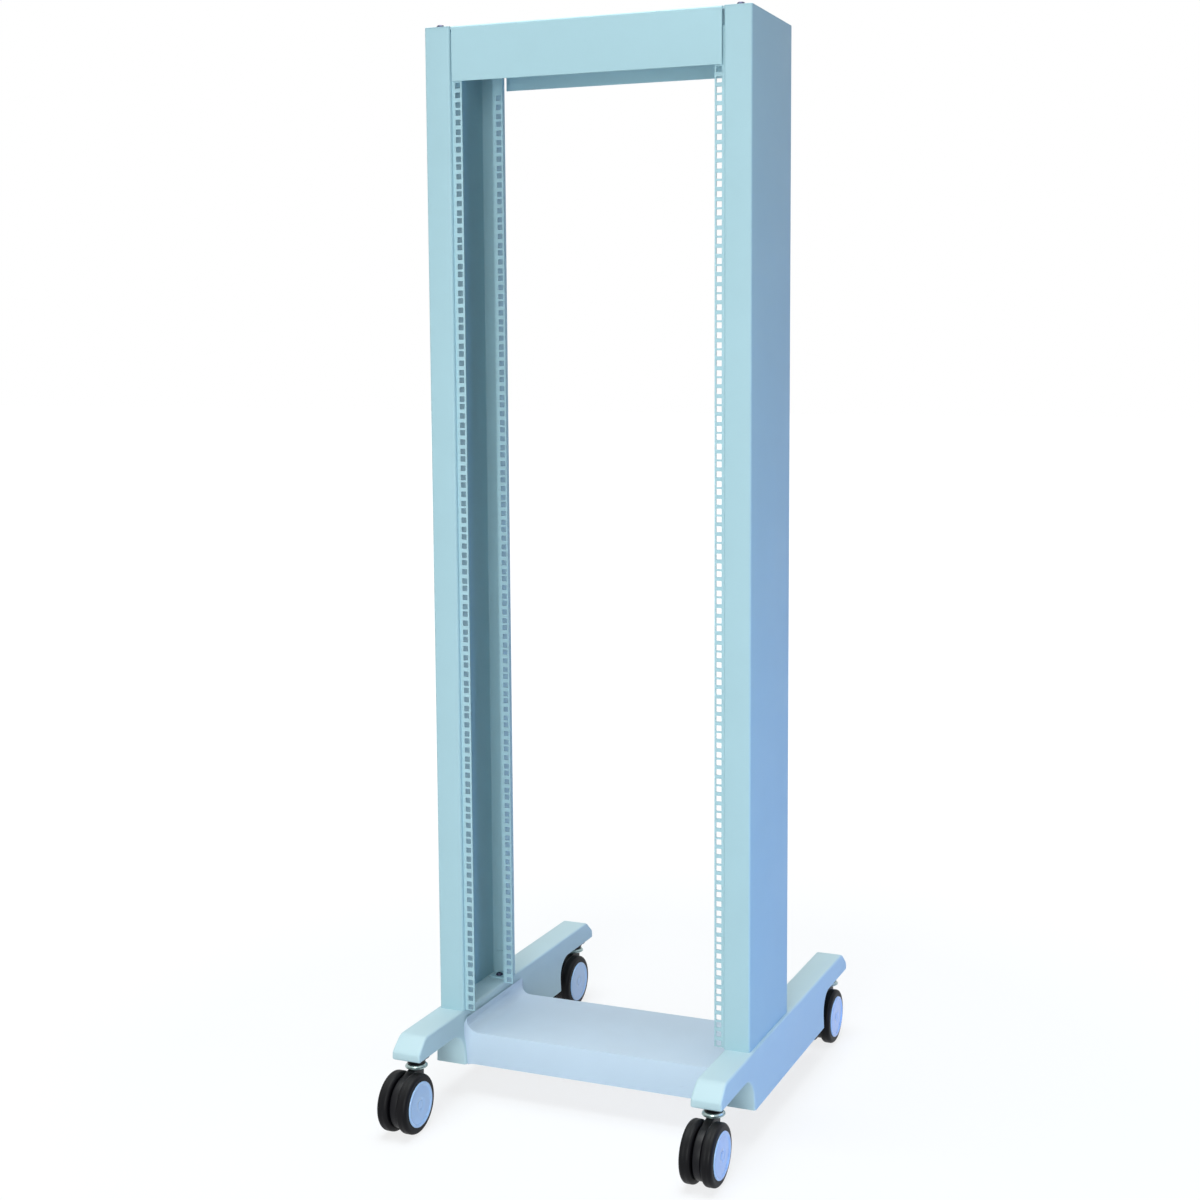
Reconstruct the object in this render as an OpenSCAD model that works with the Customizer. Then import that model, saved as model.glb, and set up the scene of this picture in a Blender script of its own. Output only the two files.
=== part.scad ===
// Two post open frame rack, 19 inch, on four twin wheel castors.
// X runs across the rack, Y from front to back, Z up. Z = 0 is the floor.

/* [Equipment space] */
// Height of the mounting space in rack units
rack_units = 36; // [12:1:42]
// Clear width between the mounting rails
rail_opening = 450; // [440:1:460]
// Distance between the left and right columns of square holes
hole_spacing = 465.1; // [460:0.1:470]
// Side of a square mounting hole
hole_size = 9.5; // [6:0.1:12]

/* [Posts] */
// Width of the rack over both posts
rack_w = 580; // [560:1:700]
// Depth of a post
post_depth = 200; // [160:1:300]
// Width of a post's front and rear face
post_face = 47; // [30:1:60]
// Thickness of the folded sheet steel
sheet = 2; // [1.5:0.1:3]
// Outside radius of the sheet's bends
bend_r = 4; // [3.2:0.1:6]
// How far the front rails lie behind the posts' front face
front_recess = 7; // [4:0.5:15]
// How far the rear rails lie inside the posts' rear face
rear_recess = 45; // [30:1:60]
// Depth of the rails' leg
rail_leg = 25; // [15:1:30]

/* [Top beam] */
// Height of the beam above the mounting space
beam_h = 90; // [60:1:140]
// Height of the beam's rear panel
beam_rear_h = 78; // [40:1:90]
// Gap between the beam's end and each post
beam_gap = 3.5; // [1:0.5:6]
// Length that the rails reach up behind the beam
rail_top = 60; // [20:1:75]
// Diameter of a top bolt's head
bolt_head_d = 14; // [10:1:18]
// Height of a top bolt's head
bolt_head_h = 5; // [3:0.5:8]
// Distance of a top bolt from the post's front or rear face
bolt_inset = 14; // [12:1:20]

/* [Feet] */
// Length of a foot
foot_l = 700; // [680:1:900]
// Width of a foot
foot_w = 51; // [48:1:56]
// How far a foot stands out beside its post
foot_out = 6; // [0:1:10]
// Height of a foot's nose over a castor
nose_h = 38; // [30:1:46]
// Height of a foot's deep middle
foot_h = 98; // [80:1:105]
// Length of a foot's deep middle at its lower edge
deep_l = 392; // [300:1:410]
// Radius of the arch between nose and deep middle
arch_r = 38; // [20:1:45]
// Run of the sloping end of a nose
nose_run = 25; // [15:1:35]
// Height of the upright band below the slope
nose_band = 15; // [10:1:20]
// How far each side of a foot leans out at its lower edge
foot_draft = 4; // [0:0.5:6]
// Radius of a foot's upper edges
foot_edge_r = 3; // [1:0.5:4]
// Wall thickness of a foot
foot_wall = 3; // [2:0.5:5]
// How far the posts stand in front of the feet's middle
post_forward = 97; // [0:1:120]

/* [Base tray] */
// Depth of the tray's top below the feet's top
tray_drop = 42; // [30:1:55]
// Height of the tray's skirt
tray_h = 58; // [40:1:60]
// Length of the tray from front to back
tray_l = 228; // [180:1:300]
// How far the tray's front lies behind the posts' front face
tray_set = 1; // [0:1:20]
// Radius of the cove along the tray's sides
side_cove_r = 20; // [5:1:25]
// Radius of the upright cove at the tray's corners
corner_cove_r = 12; // [5:1:20]

/* [Castors] */
// Diameter of a wheel
wheel_d = 100; // [80:1:104]
// Width of one wheel with its cap
wheel_w = 22; // [16:1:26]
// Diameter of a wheel's cap
cap_d = 76; // [50:1:84]
// Height of a castor from the floor to the foot's nose
castor_h = 119; // [114:1:130]
// Distance from a castor's upright axis to its wheels' axle
trail = 37; // [25:1:40]
// Distance between the front and rear castors
castor_pitch = 630; // [600:1:660]
// Thickness of the housing between the wheels
housing_t = 14; // [10:1:20]
// Gap between the housing and each wheel
wheel_gap = 1; // [0.5:0.1:2]
// Diameter of the axle
axle_d = 8; // [6:0.5:12]
// Diameter of the upright swivel pin
king_d = 8; // [6:0.5:9]
// Radial clearance of a pin in its bore
run_fit = 0.05; // [0.02:0.01:0.1]

/* [Hidden] */

// One rack unit, and the heights of its three holes above the unit's lower edge
unit = 44.45;
unit_holes = [6.35, 22.225, 38.1];

// Across the rack
half_w = rack_w / 2;
lip_x = half_w - post_face;
foot_outer_x = half_w + foot_out;
foot_inner_x = foot_outer_x - foot_w;
foot_mid_x = foot_outer_x - foot_w / 2;
beam_half = lip_x - beam_gap;
bolt_x = half_w - post_face / 2;

// Top screws and their holes
bolt_d = 8;
bolt_hole_d = bolt_d + 0.4;

// Front to back: the whole rack is centred on Y = 0 with its castors trailing forward
front_reach = max(castor_pitch / 2 + trail + wheel_d / 2, foot_l / 2);
foot_mid_y = (front_reach - foot_l / 2) / 2;
post_front = foot_mid_y - post_forward - post_depth / 2;
post_rear = post_front + post_depth;
front_rail_y = post_front + front_recess;
rear_rail_y = post_rear - rear_recess;
tray_front = post_front + tray_set;
tray_rear = tray_front + tray_l;

// Heights
foot_top = castor_h + nose_h;
space_h = rack_units * unit;
beam_bottom = foot_top + space_h;
rack_top = beam_bottom + beam_h;
tray_top = foot_top - tray_drop;
tray_low = tray_top - tray_h;
foot_bottom = foot_top - foot_h;

// Castors
wheel_r = wheel_d / 2;
wheel_in = housing_t / 2 + wheel_gap;
neck_h = 14;
collar_h = 6;
seat_gap = 0.3;
collar_top = castor_h - neck_h - seat_gap;
bearing_h = 24;
axle_reach = wheel_in + wheel_w - 5;

// Finishes
pale_steel = [0.68, 0.83, 0.88];
pale_foot = [0.86, 0.93, 0.94];
dark = [0.07, 0.07, 0.09];
disc_blue = [0.62, 0.78, 0.96];
zinc = [0.66, 0.74, 0.74];
bolt_dark = [0.30, 0.30, 0.42];

// Points of a circular arc about c from angle a0 to a1
function arc(c, r, a0, a1, n = 6) =
    [for (i = [0:n]) c + r * [cos(a0 + (a1 - a0) * i / n), sin(a0 + (a1 - a0) * i / n)]];

// The points of a half outline, mirrored about the upright axis
function mirrored(points) =
    [for (i = [len(points) - 1:-1:0]) [-points[i][0], points[i][1]]];

// Stands a profile drawn in (Y, Z) up and extrudes it along X from x0
module along_x(x0, width) {
    translate([x0, 0, 0]) rotate([90, 0, 90]) linear_extrude(height = width) children();
}

// Stands a profile drawn in (X, Z) up and extrudes it along Y from y0
module along_y(y0, length) {
    translate([0, y0 + length, 0]) rotate([90, 0, 0]) linear_extrude(height = length) children();
}

// The right hand piece is drawn, and side = -1 mirrors it to the left
module sided(side) {
    if (side > 0) children();
    else mirror([1, 0, 0]) children();
}

// ---- Posts ----

// Outer or inner line of the folded channel, open towards the rack's middle
function channel_outline(t) = let (r = bend_r - t) concat(
    arc([half_w - bend_r, post_front + bend_r], r, -90, 0, 4),
    arc([half_w - bend_r, post_rear - bend_r], r, 0, 90, 4)
);

module post_section() {
    outer = channel_outline(0);
    inner = channel_outline(sheet);
    front_lip_end = front_rail_y + rail_leg;
    polygon(concat(
        [[lip_x, front_lip_end], [lip_x, post_front]],
        outer,
        [[lip_x, post_rear], [lip_x, rear_rail_y],
         [lip_x + sheet, rear_rail_y], [lip_x + sheet, post_rear - sheet]],
        [for (i = [len(inner) - 1:-1:0]) inner[i]],
        [[lip_x + sheet, post_front + sheet], [lip_x + sheet, front_lip_end]]
    ));
}

// Folded sheet post; its lips stop below the beam's end tabs
module post(side) {
    tab_room = 8;
    color(pale_steel) sided(side) difference() {
        translate([0, 0, foot_top])
            linear_extrude(height = rack_top - sheet - foot_top) post_section();
        translate([lip_x - 1, post_front + sheet, rack_top - sheet - tab_room])
            cube([sheet + 1, post_depth - 2 * sheet, tab_room + 1]);
    }
}

// Plate that closes the top of a post
module post_cap(side) {
    color(pale_steel) sided(side) difference() {
        translate([lip_x, post_front, rack_top - sheet]) cube([post_face, post_depth, sheet]);
        for (y = [post_front + bolt_inset, post_rear - bolt_inset])
            translate([bolt_x, y, rack_top - sheet - 1]) cylinder(d = bolt_hole_d, h = sheet + 2, $fn = 32);
    }
}

// ---- Mounting rails ----

// Angle rail with three square holes to each rack unit; its leg lies against the post's lip
module rail(side, strip_y) {
    rail_h = space_h + rail_top;
    color(pale_steel) sided(side) difference() {
        union() {
            translate([rail_opening / 2, strip_y, foot_top])
                cube([lip_x - rail_opening / 2, sheet, rail_h]);
            translate([lip_x - sheet, strip_y, foot_top]) cube([sheet, rail_leg, rail_h]);
        }
        for (u = [0:rack_units - 1])
            for (z = unit_holes)
                translate([hole_spacing / 2 - hole_size / 2, strip_y - 1,
                           foot_top + u * unit + z - hole_size / 2])
                    cube([hole_size, sheet + 2, hole_size]);
    }
}

// ---- Top beam ----

// Hood of folded sheet, open below, with tabs that reach into the posts' tops
module top_beam() {
    tab_t = 3;
    tab_w = 22;
    tab_root = beam_half - 30;
    tab_end = half_w - 2 * sheet - 1;
    tab_low = rack_top - sheet - tab_t;
    color(pale_steel) {
        along_x(-beam_half, 2 * beam_half) polygon([
            [post_front, beam_bottom], [post_front, rack_top], [post_rear, rack_top],
            [post_rear, rack_top - beam_rear_h], [post_rear - sheet, rack_top - beam_rear_h],
            [post_rear - sheet, rack_top - sheet], [post_front + sheet, rack_top - sheet],
            [post_front + sheet, beam_bottom]
        ]);
        for (side = [-1, 1])
            for (y = [post_front + bolt_inset, post_rear - bolt_inset])
                sided(side) difference() {
                    translate([tab_root, y - tab_w / 2, tab_low])
                        cube([tab_end - tab_root, tab_w, tab_t]);
                    translate([bolt_x, y, tab_low - 1])
                        cylinder(d = bolt_hole_d, h = tab_t + 2, $fn = 32);
                }
    }
}

// Four screws that hold the caps and the beam's tabs together
module top_bolts() {
    shank_l = 16;
    color(bolt_dark)
        for (side = [-1, 1])
            for (y = [post_front + bolt_inset, post_rear - bolt_inset])
                translate([side * bolt_x, y, rack_top]) {
                    cylinder(d1 = bolt_head_d, d2 = bolt_head_d - 3, h = bolt_head_h, $fn = 40);
                    translate([0, 0, -shank_l]) cylinder(d = bolt_d, h = shank_l + 0.5, $fn = 32);
                }
}

// ---- Feet ----

// Points of a curve from a to b that is tangent to the lines through its corner c
function bend(a, c, b, n = 4) = [for (i = [0:n]) let (t = i / n)
    (1 - t) * (1 - t) * a + 2 * t * (1 - t) * c + t * t * b];

// Half of a foot's side outline, drawn in by t for the hollow inside
function foot_half(t, floor_z) = let (
    end = foot_l / 2 - t,
    low = foot_top - nose_h + t,
    brow = [foot_l / 2 - nose_run - t / 2, foot_top - t],
    chin = [end, low + nose_band - t],
    slope = chin - brow,
    heel_r = nose_band / 3,
    arch = [deep_l / 2 + arch_r, foot_top - nose_h - arch_r]
) concat(
    bend(brow - [8, 0], brow, brow + 0.3 * slope),
    bend(chin - 0.2 * slope, chin, chin - [0, 3]),
    bend([end, low + heel_r], [end, low], [end - heel_r, low]),
    arc(arch, arch_r + t, 90, 180, 8),
    [[deep_l / 2 - t, floor_z]]
);

module foot_outline(t, floor_z) {
    half = foot_half(t, floor_z);
    polygon(concat(half, mirrored(half)));
}

// How far a foot's side stands out at height z
function lean(z) = foot_draft * (foot_top - foot_edge_r - z) / (foot_h - foot_edge_r);

// A foot's cross section down to height z, drawn in by t
module foot_section(t, z) {
    r = foot_edge_r;
    polygon(concat(
        [[foot_inner_x + t - lean(z), z]],
        arc([foot_inner_x + r + t, foot_top - r], r, 180, 90, 3),
        arc([foot_outer_x - r - t, foot_top - r], r, 90, 0, 3),
        [[foot_outer_x - t + lean(z), z]]
    ));
}

// Hollow foot, open below its deep middle, with a floor in each nose
module foot(side) {
    reach = 20;
    color(pale_foot) sided(side) translate([0, foot_mid_y, 0]) difference() {
        intersection() {
            along_x(foot_inner_x - reach, foot_w + 2 * reach) foot_outline(0, foot_bottom);
            along_y(-foot_l, 2 * foot_l) foot_section(0, foot_bottom - 1);
        }
        intersection() {
            along_x(foot_inner_x - reach, foot_w + 2 * reach)
                foot_outline(foot_wall, foot_bottom - 1);
            along_y(-foot_l, 2 * foot_l) foot_section(foot_wall, foot_bottom - 2);
        }
    }
}

// ---- Base tray ----

// The tray's plan, with upright coves at its four corners; t draws it in to the sheet's back
module tray_plan(t) {
    r = corner_cove_r + t;
    cx = foot_inner_x - sheet - corner_cove_r;
    past = foot_inner_x + 5;
    polygon(concat(
        [[-past, tray_front]], arc([-cx, tray_front], r, 180, 90),
        arc([cx, tray_front], r, 90, 0), [[past, tray_front], [past, tray_rear]],
        arc([cx, tray_rear], r, 0, -90),
        arc([-cx, tray_rear], r, -90, -180), [[-past, tray_rear]]
    ));
}

// Half the tray's width at height z, where it meets the leaning sides of the feet
function tray_half(z) = foot_inner_x - lean(z);

// The tray's cross section, coved up at both sides, drawn out by t to the sheet's back
function pan_line(t) = let (
    cx = tray_half(tray_top) - sheet - side_cove_r,
    cz = tray_top + side_cove_r,
    rim = 8
) concat(
    [[-cx - side_cove_r - t, cz + rim]],
    arc([-cx, cz], side_cove_r + t, 180, 270),
    arc([cx, cz], side_cove_r + t, 270, 360),
    [[cx + side_cove_r + t, cz + rim]]
);

// Coved sheet between the feet, with a skirt all round
module base_tray() {
    top = pan_line(0);
    under = pan_line(sheet);
    tall = 3 * foot_h;
    color(pale_foot) {
        intersection() {
            along_y(tray_front - 1, tray_l + 2)
                polygon(concat(top, [for (i = [len(under) - 1:-1:0]) under[i]]));
            translate([0, 0, tray_top - tall / 2]) linear_extrude(height = tall) tray_plan(0);
        }
        intersection() {
            along_y(tray_front - 1, tray_l + 2) polygon(concat(
                [[-tray_half(tray_low), tray_low], [-tray_half(tray_top), tray_top]], top,
                [[tray_half(tray_top), tray_top], [tray_half(tray_low), tray_low]]));
            translate([0, 0, tray_top - tall / 2]) difference() {
                linear_extrude(height = tall) tray_plan(0);
                translate([0, 0, -1]) linear_extrude(height = tall + 2) tray_plan(sheet);
            }
        }
    }
}

// Angle brackets inside the posts that tie them to the feet
module post_brackets() {
    bracket_w = 30;
    bracket_h = 43;
    bracket_t = 3;
    x0 = lip_x + sheet + 6;
    color(pale_steel)
        for (side = [-1, 1]) sided(side) for (front = [true, false]) {
            y_up = front ? post_front + sheet : post_rear - sheet - bracket_t;
            y_flat = front ? post_front + sheet : post_rear - sheet - bracket_w;
            translate([x0, y_up, foot_top]) cube([bracket_w, bracket_t, bracket_h]);
            translate([x0, y_flat, foot_top]) cube([bracket_w, bracket_w, bracket_t]);
        }
}

// ---- Castors ----

// Puts a piece under the nose at one corner of the rack
module at_corner(side, end) {
    translate([side * foot_mid_x, foot_mid_y + end * castor_pitch / 2, 0]) children();
}

// Fixed cone under the nose with the upright pin that the housing swivels on
module castor_stem(side, end) {
    cone_top_d = 46;
    cone_low_d = 30;
    pin_low = collar_top - collar_h - bearing_h + 1;
    color(dark) at_corner(side, end) {
        translate([0, 0, castor_h - neck_h])
            cylinder(d1 = cone_low_d, d2 = cone_top_d, h = neck_h, $fn = 48);
        translate([0, 0, pin_low]) cylinder(d = king_d, h = castor_h - pin_low - 1, $fn = 48);
    }
}

// Web between the wheels, bored for the upright pin, with the axle through it
module castor_housing(side, end) {
    top_z = collar_top - collar_h;
    web_r = wheel_r - 7;
    neck_r = 16;
    low_z = top_z - bearing_h;
    heel = neck_r - 2;
    color(dark) at_corner(side, end) {
        difference() {
            along_x(-housing_t / 2, housing_t) {
                translate([-trail, wheel_r]) circle(r = web_r, $fn = 72);
                polygon([[-trail, wheel_r + web_r], [-trail, wheel_r],
                         [heel, low_z], [heel, top_z], [-neck_r, top_z]]);
            }
            translate([0, 0, low_z])
                cylinder(r = king_d / 2 + run_fit, h = bearing_h + 1, $fn = 48);
        }
        translate([-axle_reach, -trail, wheel_r]) rotate([0, 90, 0])
            cylinder(d = axle_d, h = 2 * axle_reach, $fn = 48);
    }
}

// Pale bearing collar on top of the housing
module castor_collar(side, end) {
    collar_d = 38;
    color(zinc) at_corner(side, end) translate([0, 0, collar_top - collar_h]) difference() {
        cylinder(d1 = collar_d, d2 = collar_d - 6, h = collar_h, $fn = 48);
        translate([0, 0, -1]) cylinder(r = king_d / 2 + run_fit, h = collar_h + 2, $fn = 48);
    }
}

// Turns a profile drawn in (radius, distance from the castor's middle) about the axle
module about_axle(side, end, hand) {
    at_corner(side, end) translate([0, -trail, wheel_r]) rotate([0, hand * 90, 0])
        rotate_extrude($fn = 72) children();
}

// Hub with its round cap; the axle runs in a blind bore
module castor_wheel(side, end, hand) {
    bore_r = axle_d / 2 + run_fit;
    face = wheel_in + wheel_w;
    cap_r = cap_d / 2;
    color(disc_blue) about_axle(side, end, hand) polygon([
        [bore_r, wheel_in], [cap_r, wheel_in], [cap_r, face - 2], [cap_r - 3, face],
        [cap_r - 6, face], [0, face - 1.5], [0, axle_reach + 0.5], [bore_r, axle_reach + 0.5]
    ]);
}

// Tyre with rounded shoulders
module castor_tyre(side, end, hand) {
    cap_r = cap_d / 2;
    shoulder = 6;
    low = wheel_in;
    high = wheel_in + wheel_w - 2;
    color(dark) about_axle(side, end, hand) polygon(concat(
        [[cap_r, high], [cap_r, low]],
        arc([wheel_r - shoulder, low + shoulder], shoulder, -90, 0, 4),
        arc([wheel_r - shoulder, high - shoulder], shoulder, 0, 90, 4)
    ));
}

post(-1);  // left_post
post(1);  // right_post
post_cap(-1);  // left_post_cap
post_cap(1);  // right_post_cap
rail(-1, front_rail_y);  // front_left_rail
rail(1, front_rail_y);  // front_right_rail
rail(-1, rear_rail_y - sheet);  // rear_left_rail
rail(1, rear_rail_y - sheet);  // rear_right_rail
top_beam();
top_bolts();
foot(-1);  // left_foot
foot(1);  // right_foot
base_tray();
post_brackets();

castor_stem(-1, -1);  // front_left_castor_stem
castor_housing(-1, -1);  // front_left_castor_housing
castor_collar(-1, -1);  // front_left_castor_collar
castor_wheel(-1, -1, -1);  // front_left_outer_wheel
castor_tyre(-1, -1, -1);  // front_left_outer_tyre
castor_wheel(-1, -1, 1);  // front_left_inner_wheel
castor_tyre(-1, -1, 1);  // front_left_inner_tyre

castor_stem(1, -1);  // front_right_castor_stem
castor_housing(1, -1);  // front_right_castor_housing
castor_collar(1, -1);  // front_right_castor_collar
castor_wheel(1, -1, 1);  // front_right_outer_wheel
castor_tyre(1, -1, 1);  // front_right_outer_tyre
castor_wheel(1, -1, -1);  // front_right_inner_wheel
castor_tyre(1, -1, -1);  // front_right_inner_tyre

castor_stem(-1, 1);  // rear_left_castor_stem
castor_housing(-1, 1);  // rear_left_castor_housing
castor_collar(-1, 1);  // rear_left_castor_collar
castor_wheel(-1, 1, -1);  // rear_left_outer_wheel
castor_tyre(-1, 1, -1);  // rear_left_outer_tyre
castor_wheel(-1, 1, 1);  // rear_left_inner_wheel
castor_tyre(-1, 1, 1);  // rear_left_inner_tyre

castor_stem(1, 1);  // rear_right_castor_stem
castor_housing(1, 1);  // rear_right_castor_housing
castor_collar(1, 1);  // rear_right_castor_collar
castor_wheel(1, 1, 1);  // rear_right_outer_wheel
castor_tyre(1, 1, 1);  // rear_right_outer_tyre
castor_wheel(1, 1, -1);  // rear_right_inner_wheel
castor_tyre(1, 1, -1);  // rear_right_inner_tyre
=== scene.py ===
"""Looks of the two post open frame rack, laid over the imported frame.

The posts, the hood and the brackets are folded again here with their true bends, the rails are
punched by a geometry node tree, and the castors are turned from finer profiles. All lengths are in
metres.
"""
import logging
import math
from collections.abc import Callable, Iterable, Sequence
from dataclasses import dataclass
from enum import Enum

import bmesh
import bpy
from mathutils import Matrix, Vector


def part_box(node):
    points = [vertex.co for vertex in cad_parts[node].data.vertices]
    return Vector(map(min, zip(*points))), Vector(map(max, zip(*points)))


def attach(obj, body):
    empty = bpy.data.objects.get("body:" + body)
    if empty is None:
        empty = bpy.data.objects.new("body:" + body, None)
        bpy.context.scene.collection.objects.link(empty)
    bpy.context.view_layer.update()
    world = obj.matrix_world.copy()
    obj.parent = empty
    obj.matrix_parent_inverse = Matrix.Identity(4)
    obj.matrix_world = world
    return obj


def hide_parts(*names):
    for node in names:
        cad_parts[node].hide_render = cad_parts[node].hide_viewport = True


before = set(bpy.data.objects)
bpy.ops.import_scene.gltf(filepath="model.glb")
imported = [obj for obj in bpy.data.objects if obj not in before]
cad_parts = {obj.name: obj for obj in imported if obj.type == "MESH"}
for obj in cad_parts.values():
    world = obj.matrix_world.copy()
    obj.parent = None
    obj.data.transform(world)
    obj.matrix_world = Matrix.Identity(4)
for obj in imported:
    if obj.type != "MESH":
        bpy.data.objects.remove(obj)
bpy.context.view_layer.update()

FOOT_LEAN = 0.004
BEAM_GAP = 0.0035
RAIL_LEG = 0.025
LOG = logging.getLogger("rack")

Point = tuple[float, float]
Run = list[tuple[Vector, Vector]]


class Side(Enum):
    """The two sides of the rack, seen from the front."""

    LEFT = -1
    RIGHT = 1

    @property
    def word(self) -> str:
        """The side's name in piece names."""
        return self.name.lower()


class End(Enum):
    """The two ends of the rack along Y."""

    FRONT = -1
    REAR = 1

    @property
    def word(self) -> str:
        """The end's name in piece names."""
        return self.name.lower()


# ---------------------------------------------------------------------------
# Sizes
# ---------------------------------------------------------------------------


@dataclass(frozen=True)
class Sizes:
    """The rack's main lengths, read off the frame, and the folds that only the looks need."""

    half_w: float
    lip_x: float
    post_front: float
    post_rear: float
    foot_top: float
    rack_top: float
    rail_edge: float
    front_rail_y: float
    rear_rail_y: float
    rail_high: float
    foot_inner: float
    foot_outer: float
    foot_mid_y: float
    foot_half_l: float
    foot_low: float
    tray_front: float
    tray_rear: float
    tray_low: float
    beam_low: float
    beam_half: float
    castor_pitch: float = 0.630
    trail: float = 0.037
    wheel_r: float = 0.050
    sheet: float = 0.002
    bend: float = 0.004
    unit: float = 0.04445
    units: int = 36

    @classmethod
    def from_frame(cls) -> "Sizes":
        """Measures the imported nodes.

        Returns:
            The sizes that the dressed pieces are built to.
        """
        post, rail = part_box("right_post"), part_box("front_right_rail")
        rear_rail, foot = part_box("rear_right_rail"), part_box("right_foot")
        tray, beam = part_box("base_tray"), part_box("top_beam")
        return cls(
            half_w=post[1].x, lip_x=post[0].x, post_front=post[0].y, post_rear=post[1].y,
            foot_top=foot[1].z, rack_top=beam[1].z,
            rail_edge=rail[0].x, front_rail_y=rail[0].y, rear_rail_y=rear_rail[0].y,
            rail_high=rail[1].z,
            foot_inner=foot[0].x + FOOT_LEAN, foot_outer=foot[1].x - FOOT_LEAN,
            foot_mid_y=(foot[0].y + foot[1].y) / 2, foot_half_l=(foot[1].y - foot[0].y) / 2,
            foot_low=foot[0].z, tray_front=tray[0].y, tray_rear=tray[1].y, tray_low=tray[0].z,
            beam_low=beam[0].z, beam_half=post[0].x - BEAM_GAP,
        )


SIZES = Sizes.from_frame()


# ---------------------------------------------------------------------------
# Node trees
# ---------------------------------------------------------------------------


class Graph:
    """Adds and links the nodes of one tree, laid out from left to right."""

    def __init__(self, tree: bpy.types.NodeTree) -> None:
        self.tree = tree
        self.count = 0

    def add(self, kind: str, feeds: dict | None = None, **settings) -> bpy.types.Node:
        """Adds one node.

        Args:
            kind: The node's type name.
            feeds: Input name or index to a constant, or to the socket linked into it.
            settings: Properties set on the node.

        Returns:
            The new node.
        """
        node = self.tree.nodes.new(kind)
        node.location = (190 * (self.count % 12), -320 * (self.count // 12))
        self.count += 1
        for name, value in settings.items():
            setattr(node, name, value)
        for key, value in (feeds or {}).items():
            if isinstance(value, bpy.types.NodeSocket):
                self.tree.links.new(value, node.inputs[key])
            else:
                node.inputs[key].default_value = value
        return node

    def math(self, operation: str, a, b=0.0, c=0.0) -> bpy.types.NodeSocket:
        """Adds a Math node and returns its output."""
        node = self.add("ShaderNodeMath", {0: a, 1: b, 2: c}, operation=operation)
        return node.outputs[0]

    def ramp(self, value, low: float, high: float) -> bpy.types.NodeSocket:
        """Maps low..high to 0..1, clamped, and returns the output."""
        node = self.add("ShaderNodeMapRange",
                        {"Value": value, "From Min": low, "From Max": high}, clamp=True)
        return node.outputs["Result"]


def new_group(name: str, kind: str, inputs: Sequence[tuple], outputs: Sequence[tuple]) -> Graph:
    """Starts a node group with named sockets.

    Args:
        name: The group's name.
        kind: "ShaderNodeTree" or "GeometryNodeTree".
        inputs: (name, socket type, default or None) of each input.
        outputs: (name, socket type) of each output.

    Returns:
        The graph of the new tree.
    """
    tree = bpy.data.node_groups.new(name, kind)
    for label, socket_type, default in inputs:
        socket = tree.interface.new_socket(label, in_out="INPUT", socket_type=socket_type)
        if default is not None:
            socket.default_value = default
    for label, socket_type in outputs:
        tree.interface.new_socket(label, in_out="OUTPUT", socket_type=socket_type)
    return Graph(tree)


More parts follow.
